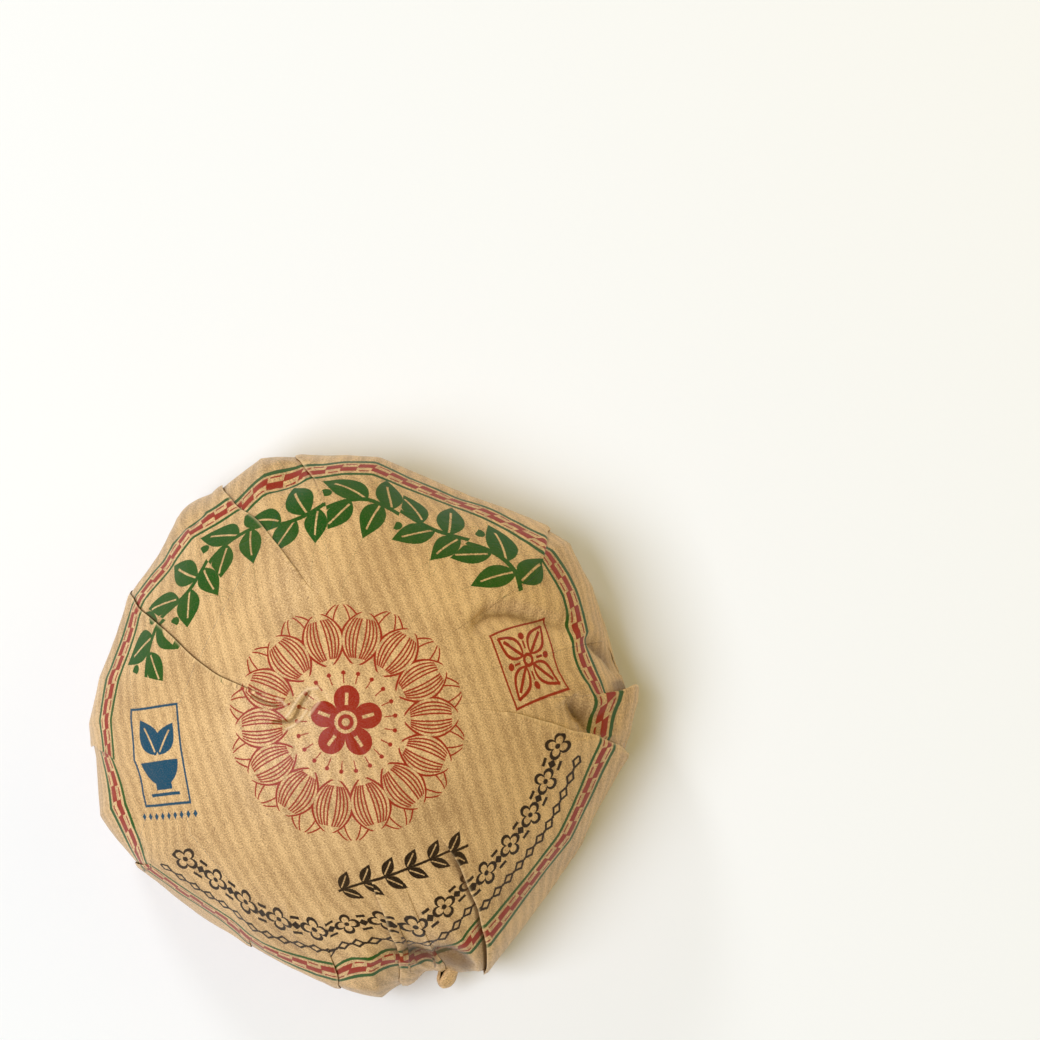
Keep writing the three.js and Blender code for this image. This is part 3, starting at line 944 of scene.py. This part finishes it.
def fret_border(rho, phi):
    """The red fret between the two green lines: thick steps that swap sides, thin bars beside them."""
    middle = (RING_OUTER + RING_INNER) / 2
    pitch = TAU * middle / FRET_UNITS
    u = sector(middle, phi, FRET_UNITS)
    v = rho - middle
    pieces = []
    for side in (1, -1):
        pieces.append(box(u, v, side * pitch / 4, side * 0.52, pitch / 4 + 0.12, 0.66))
        pieces.append(box(u, v, side * pitch / 4, side * -1.12, pitch / 4 - 0.42, 0.17))
    return nearest(*pieces)


def leaf_garland(rho, phi):
    """A tea branch along the upper arc, its leaves on both sides of a waving stem."""
    middle = 35.9
    place, u, pitch, beyond = cells(phi, middle, math.radians(39), math.radians(131), 7)
    side = ((place.math("FLOOR") * 0.5).fract() * -4.0) + 1.0
    v = (rho - middle) * side
    wave = (u * (math.pi / pitch)).cos() * 1.5 - 0.4
    shape = nearest(
        abs(v - wave) - 0.42,
        leaf(u, v, -4.6, 0.2, 72, 6.8, 2.1, 0.9),
        leaf(u, v, -0.6, 1.0, 46, 7.6, 2.3, -0.9),
        leaf(u, v, -2.8, 0.9, -70, 7.6, 2.2, -0.8),
        leaf(u, v, 1.8, 0.5, -52, 7.4, 2.0, 0.8),
        dot(u, v, 5.4, 2.9, 0.85),
    )
    return shape.more(beyond)


def blossom_medallion(x, y):
    """An open flower of fine lines round a bold five-petalled heart."""
    x, y = placed(x, y, *BLOSSOM_PLACE, PRINT_TURN)
    r, a = length(x, y), angle_of(x, y)
    petals = 14
    share = ((r - 8.6) / 8.8).clamped()
    edge = (share.math("POWER", 1.15) * math.pi).sin().math("POWER", 0.62) * 3.1
    side = abs(sector(r, a, petals))
    petal = side - edge
    fine = [ring(petal, 0.20).more(-r + 8.9).more(r - 17.2)]
    for part in (0.19, 0.38, 0.57, 0.76):
        fine.append(ring(side - edge * part, 0.135).more(-r + 9.8).more(r - 16.2))
    side = abs(sector(r, a, petals, 0.5))
    share = ((r - 7.6) / 11.0).clamped()
    back_edge = (share.math("POWER", 1.3) * math.pi).sin().math("POWER", 0.6) * 3.2
    back = side - back_edge
    behind = ring(back, 0.18).less(ring(side - back_edge * 0.45, 0.13).more(back))
    fine.append(behind.more(-petal + 0.1).more(-r + 12.0).more(r - 18.3))
    stamen = sector(r, a, 21)
    fine.append(length(stamen, r - 7.5) - 0.34)
    fine.append((abs(stamen) - 0.09).more(abs(r - 6.6) - 0.7))
    lobes = abs((a * 2.5).cos()).math("POWER", 0.55)
    heart = (r - (lobes * 3.2 + 2.4)).more(-r + 1.7)
    slit = ring(abs((a * 2.5).sin()) * r * 0.4, 0.24).more(-r + 2.6).more(r - 4.4)
    return nearest(*fine, heart.more(-slit), ring(r - 0.9, 0.3))


def square_panel(x, y):
    """A red square frame round four outlined leaves and a small ring."""
    x, y = placed(x, y, *SQUARE_PLACE, PRINT_TURN + 20)
    x = x - y * 0.26
    frame = ring(box(x, y, 0.0, 0.0, 6.0, 5.9), 0.18)
    ax, ay = abs(x), abs(y)
    along, across = placed(ax, ay, 0.9, 0.9, 45)
    blade = ring(leaf(ax, ay, 0.9, 0.9, 45, 5.6, 1.6, 0.0, 0.0), 0.3)
    blade = blade.more(abs(along - 2.8) - 3.0)
    shape = frame.less(blade).less(box(along, across, 2.6, 0.0, 1.5, 0.2))
    shape = shape.less(ring(length(x, y) - 0.9, 0.3))
    for u, v in ((ax, ay), (ay, ax)):
        shape = shape.less(dot(u, v, 4.1, 0.0, 0.62)).less(box(u, v, 2.6, 0.0, 0.7, 0.2))
    return shape


def cup_panel(x, y):
    """A blue frame around a tea bowl with two leaves over it, and a row of lozenges below."""
    x, y = placed(x, y, *CUP_PLACE, PRINT_TURN - 11)
    x = x + y * 0.05
    beads = abs((x / 1.5 + 0.5).fract() * 1.5 - 0.75) + abs(y + 9.6) * 0.8 - 0.46
    return nearest(
        ring(box(x, y, 0.0, 0.0, 5.2, 7.9), 0.2),
        (length(x, (y + 0.6) * 0.95) - 4.1).more(y + 0.8),
        box(x, y, 0.0, -5.0, 1.8, 0.55),
        box(x, y, 0.0, -6.3, 3.3, 0.26),
        leaf(x, y, -0.2, 0.2, 112, 6.6, 2.1, 0.5),
        leaf(x, y, 0.4, 0.2, 58, 6.0, 1.9, -0.5),
        beads.more(abs(x) - 6.6),
    )


def black_rows(x, y, rho, phi):
    """Two rows of small ornaments along the lower arc and a short row of leaves above them."""
    turn = (phi / TAU + 1.0).fract() * TAU
    low = math.radians(214)
    first, second = 35.2, 39.7
    _, u, pitch, beyond = cells(turn, first, low, math.radians(142), 15)
    v = rho - first
    r, a = length(u, v), angle_of(u, v)
    petals = abs((a * 2.0).cos()).math("POWER", 0.7)
    au, av = abs(u), abs(v)
    flowers = nearest(
        ring(r - (petals * 1.15 + 0.8), 0.32),
        r - 0.45,
        box(au, av, pitch / 2, 1.45, 0.75, 0.28),
        abs(au - pitch / 2) + av - 0.8,
    )
    flowers = flowers.more(beyond + 0.85)
    _, u, pitch, beyond = cells(turn, second, low, math.radians(136), 35)
    v = rho - second
    au = abs(u)
    chain = ring((au * 0.75 + abs(v)) * 0.8 - 0.62, 0.22).less(length(au - pitch / 2, v) - 0.28)
    chain = chain.more(beyond + 0.4)
    x, y = placed(x, y, *TWIG_PLACE, PRINT_TURN + 3)
    u = ((x / 3.8).fract() - 0.5) * 3.8
    twig = leaf(u, abs(y), -1.3, 0.2, 42, 3.6, 0.95, 0.3, 0.09).less(abs(y) - 0.24)
    return nearest(flowers, chain, twig.more(abs(x) - 11.4))


def line_distance(x, y, lines):
    """Distance from lines of straight pieces, which are given as the camera sees them."""
    pieces = []
    for line in lines:
        points = [polar(*from_view(point)) for point in line]
        for (x0, y0), (x1, y1) in zip(points, points[1:]):
            degrees = math.degrees(math.atan2(y1 - y0, x1 - x0))
            a, b = placed(x, y, (x0 + x1) / 2, (y0 + y1) / 2, degrees)
            pieces.append(length((abs(a) - math.hypot(x1 - x0, y1 - y0) / 2).more(0.0), b))
    return nearest(*pieces)


def kraft_material():
    """Thin ribbed kraft paper with its print."""
    material, tree, shader = new_material("printed_kraft_paper")
    where = tree.nodes.new("ShaderNodeUVMap")
    where.uv_map = "paper"
    split = tree.nodes.new("ShaderNodeSeparateXYZ")
    tree.links.new(where.outputs["UV"], split.inputs[0])
    x, y = Value(tree, split.outputs[0]), Value(tree, split.outputs[1])

    # Ribs, clouds, grain and fibres of the bare paper
    clouds = about(x, y, 0.09, 0.09, 3, 0.55)
    warp = about(x, y, 0.14, 0.04, 2, 0.5, turn=RIB_TURN)
    ragged = about(x, y, 1.4, 0.6, 2, 0.6, turn=RIB_TURN)
    across = placed(x, y, 0.0, 0.0, RIB_TURN)[0]
    wave = ((across + warp * 1.8 + ragged * 0.5) * (TAU / RIB_PITCH)).sin()
    grain = about(x, y, 3.4, 5.2, 3, 0.7, turn=RIB_TURN)
    fibres = about(x, y, 0.9, 7.0, 3, 0.6, turn=-52.0, distort=0.6)
    specks = about(x, y, 1.1, 1.5, 2, 0.5, turn=40.0)
    tone = wave * 0.155 + (clouds - 0.5) * 0.8 + (grain - 0.5) * 2.7 + (fibres - 0.5) * 1.2 + 0.5
    tone = tone.clamped()
    paper = mixed(tone, PAPER_DARK, PAPER_PALE)
    dark = specks.smooth(0.735, 0.80)
    paper = mixed(dark * 0.55, paper, SPECK)

    # The print, with edges that follow the paper's grain
    soak = (grain - 0.5) * 0.16
    rho, phi = length(x, y), angle_of(x, y)
    strength = grain.smooth(0.30, 0.55, 0.88, 1.0) * clouds.smooth(0.25, 0.7, 0.97, 1.0)
    lines = ring(rho - RING_OUTER, OUTER_LINE).less(ring(rho - RING_INNER, INNER_LINE))
    green = nearest(lines, leaf_garland(rho, phi))
    red = nearest(fret_border(rho, phi), blossom_medallion(x, y), square_panel(x, y))
    blue, black = cup_panel(x, y), black_rows(x, y, rho, phi)
    for shape, ink in ((green, GREEN), (red, RED), (blue, BLUE), (black, BLACK)):
        paper = mixed(cover(shape + soak) * strength, paper, ink)

    # Sharp creases with painted shade in the valleys and a painted highlight on the crests, painted shade
    # inside the folds and recesses, and fold edges painted pale, partly as rubbed wear and partly as a
    # painted highlight
    valley = line_distance(x, y, VALLEYS).smooth(0.05, 0.42, 1.0, 0.0)
    crest = line_distance(x, y, RIDGES).smooth(0.04, 0.46, 1.0, 0.0)
    paper = mixed(valley * 0.62, paper, VALLEY_PAINTED_SHADE)
    paper = mixed(crest * 0.42, paper, CREST_PAINTED_HIGHLIGHT)
    painted_light_and_wear_values = tree.nodes.new("ShaderNodeAttribute")
    painted_light_and_wear_values.attribute_name = "painted_light_and_wear"
    painted_light_and_wear = Value(tree, painted_light_and_wear_values.outputs["Fac"])
    paper = mixed(painted_light_and_wear.smooth(0.2, 1.0, 0.0, 0.42), paper, RUBBED_PALE_AND_PAINTED_HIGHLIGHT)
    paper = mixed(painted_light_and_wear.smooth(-1.0, -0.05, 0.70, 0.0), paper, PAINTED_SHADE)
    tree.links.new(paper, shader.inputs["Base Color"])
    rough = grain.smooth(0.35, 0.65, 0.50, 0.28)
    tree.links.new(rough.socket, shader.inputs["Roughness"])
    shader.inputs["Specular IOR Level"].default_value = 0.20

    # Fine wrinkles and grain
    wrinkles = about(x, y, 0.22, 0.30, 4, 0.62, turn=10.0, distort=0.8)
    relief = (abs(wrinkles - 0.5) * -0.9) + grain * 0.12 + wave * 0.022 + crest * 0.9 - valley * 0.9
    bump = tree.nodes.new("ShaderNodeBump")
    bump.inputs["Strength"].default_value = 0.55
    bump.inputs["Distance"].default_value = 0.0003
    tree.links.new(relief.socket, bump.inputs["Height"])
    tree.links.new(bump.outputs["Normal"], shader.inputs["Normal"])
    return material


# Floor, lights and camera
def build_stage():
    """The pale floor under the cake, which glows faintly."""
    pale, _, shader = new_material("floor")
    shader.inputs["Base Color"].default_value = (*FLOOR_COLOUR, 1)
    shader.inputs["Roughness"].default_value = FLOOR_ROUGHNESS
    shader.inputs["Emission Color"].default_value = (*FLOOR_COLOUR, 1)
    shader.inputs["Emission Strength"].default_value = FLOOR_GLOW
    mesh = bpy.data.meshes.new("floor")
    corners = [(x * FLOOR_HALF, y * FLOOR_HALF, 0) for x, y in ((-1, -1), (1, -1), (1, 1), (-1, 1))]
    mesh.from_pydata(corners, [], [(0, 1, 2, 3)])
    floor = new_object("floor", mesh, pale)


def area_light(name, azimuth, elevation, distance, size, power, colour):
    """A square light that looks at the cake from a direction in degrees."""
    data = bpy.data.lights.new(name, "AREA")
    data.size = size
    data.energy = power
    data.color = colour
    lamp = new_object(name, data)
    a, e = math.radians(azimuth), math.radians(elevation)
    towards = Vector((math.cos(a) * math.cos(e), math.sin(a) * math.cos(e), math.sin(e)))
    lamp.location = towards * distance
    lamp.rotation_euler = towards.to_track_quat("Z", "Y").to_euler()


def build_lights():
    """A large soft key high on the left, a sheen light, warm fills from the right, the sky."""
    for light in LIGHTS:
        area_light(*light)
    world = bpy.data.worlds.new("sky")
    world.use_nodes = True
    background = world.node_tree.nodes["Background"]
    background.inputs["Color"].default_value = (*SKY_COLOUR, 1)
    background.inputs["Strength"].default_value = SKY_STRENGTH
    bpy.context.scene.world = world


def build_camera(axis):
    """A long lens over the cake, which stands in the lower left of the picture."""
    data = bpy.data.cameras.new("camera")
    data.sensor_width = 36
    data.lens = FOCAL_PIXELS / PICTURE * data.sensor_width
    data.clip_start = 0.01
    camera = new_object("camera", data)
    tilt_x, tilt_y = VIEW_TILT
    towards = Vector((tilt_x, tilt_y, math.sqrt(1 - tilt_x**2 - tilt_y**2)))
    target = Vector((axis.x, axis.y, WIDEST_HEIGHT * MM))
    side = Vector((0, 1, 0)).cross(towards).normalized()
    straight = Matrix((side, towards.cross(side), towards)).transposed().to_quaternion()
    off_x = (CAKE_PIXEL[0] - PICTURE / 2) / FOCAL_PIXELS
    off_y = (PICTURE / 2 - CAKE_PIXEL[1]) / FOCAL_PIXELS
    aside = Vector((off_x, off_y, -1)).normalized().rotation_difference(Vector((0, 0, -1)))
    camera.location = target + towards * CAMERA_DISTANCE * MM
    camera.rotation_euler = (straight @ aside).to_euler()
    bpy.context.scene.camera = camera


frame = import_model()
cake = frame["nodes"]["wrapped_tea_cake"]
apex_vertex = max(cake.data.vertices, key=lambda v: v.co.z)
dome_axis = Vector((apex_vertex.co.x, apex_vertex.co.y, 0))

kraft = kraft_material()
build_wrapper(dome_axis, kraft)
build_tip(dome_axis, kraft)
build_stage()
build_lights()
build_camera(dome_axis)

bpy.context.scene.view_settings.view_transform = "Standard"
